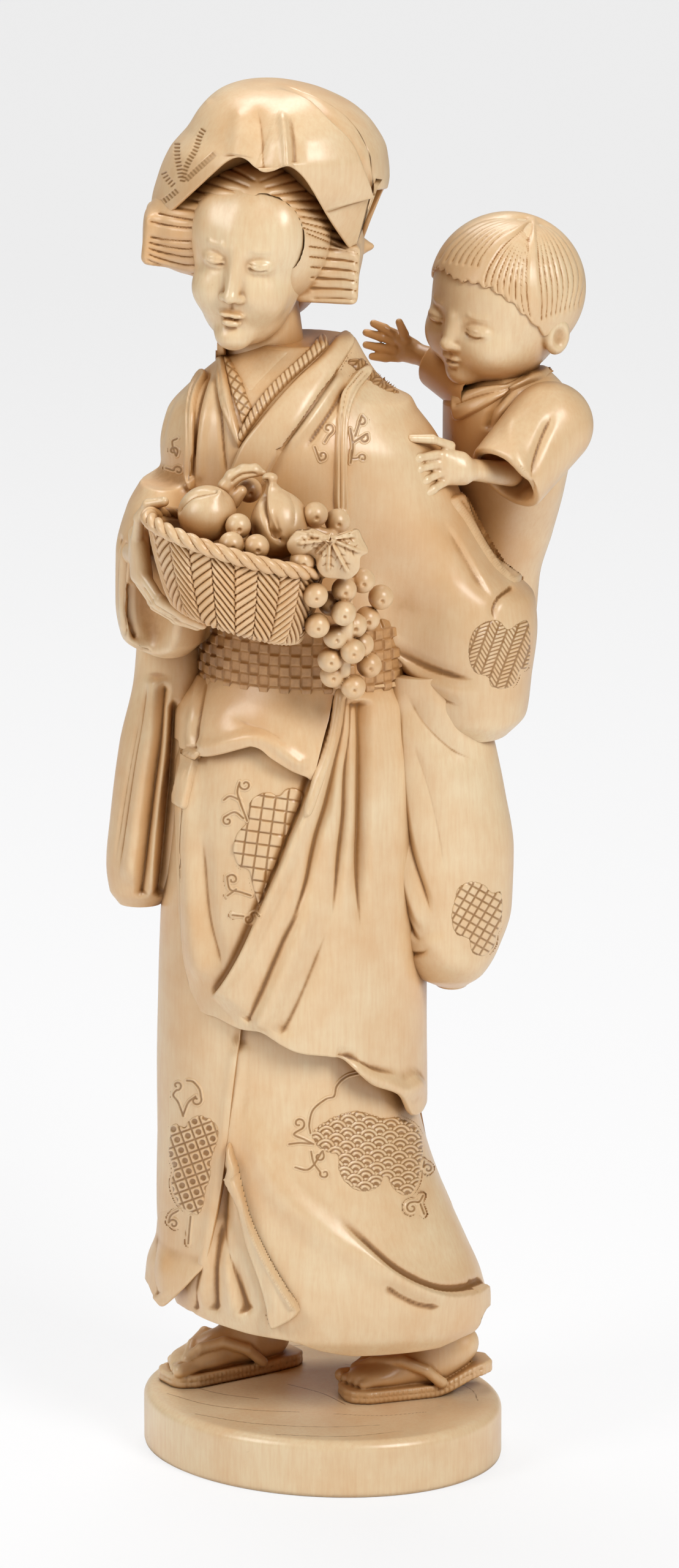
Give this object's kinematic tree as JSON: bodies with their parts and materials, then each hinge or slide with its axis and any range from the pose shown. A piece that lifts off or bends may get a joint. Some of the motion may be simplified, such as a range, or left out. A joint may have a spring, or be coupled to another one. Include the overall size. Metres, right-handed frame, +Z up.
{
  "type": "okimono carving",
  "caption": "Carved ivory figure of a woman in a kimono and headscarf who holds a basket of fruit and carries a child on her back, on an oval plinth.",
  "frame": {"origin": "centre of the plinth's underside", "axes": "+Z up, -Y towards the viewer of the front, +X to that viewer's right"},
  "size_m": [0.0819, 0.0718, 0.2394],
  "materials": {
    "ivory_plinth": null,
    "ivory_feet": "satin ivory, stained in the grooves",
    "ivory_robe": "polished cream ivory with fine grain and engraved, stained patterns",
    "ivory_head": "polished pale ivory",
    "ivory_skin": "polished pale ivory",
    "ivory_basket": "carved slats, tan stain between them",
    "ivory_fruit": "polished ivory, brown in the dimples",
    "ivory_pegs": "plain ivory, hidden"
  },
  "bodies": {
    "root": {"plinth": "ivory_plinth", "right_foot": "ivory_feet", "left_foot": "ivory_feet", "robe": "ivory_robe", "right_sleeve": "ivory_robe", "left_sleeve": "ivory_robe", "head": "ivory_head", "right_hand": "ivory_skin", "left_hand": "ivory_skin", "basket": "ivory_basket", "peach": "ivory_fruit", "fig": "ivory_fruit", "berry_cluster": "ivory_fruit", "curled_leaf": "ivory_fruit", "vine_leaf": "ivory_fruit", "grape_bunch": "ivory_fruit", "child_body": "ivory_robe", "child_head": "ivory_head", "child_left_hand": "ivory_skin", "child_right_hand": "ivory_skin", "foot_pegs": "ivory_pegs", "sleeve_pegs": "ivory_pegs", "basket_peg": "ivory_pegs", "child_peg": "ivory_pegs"}
  },
  "joints": []
}
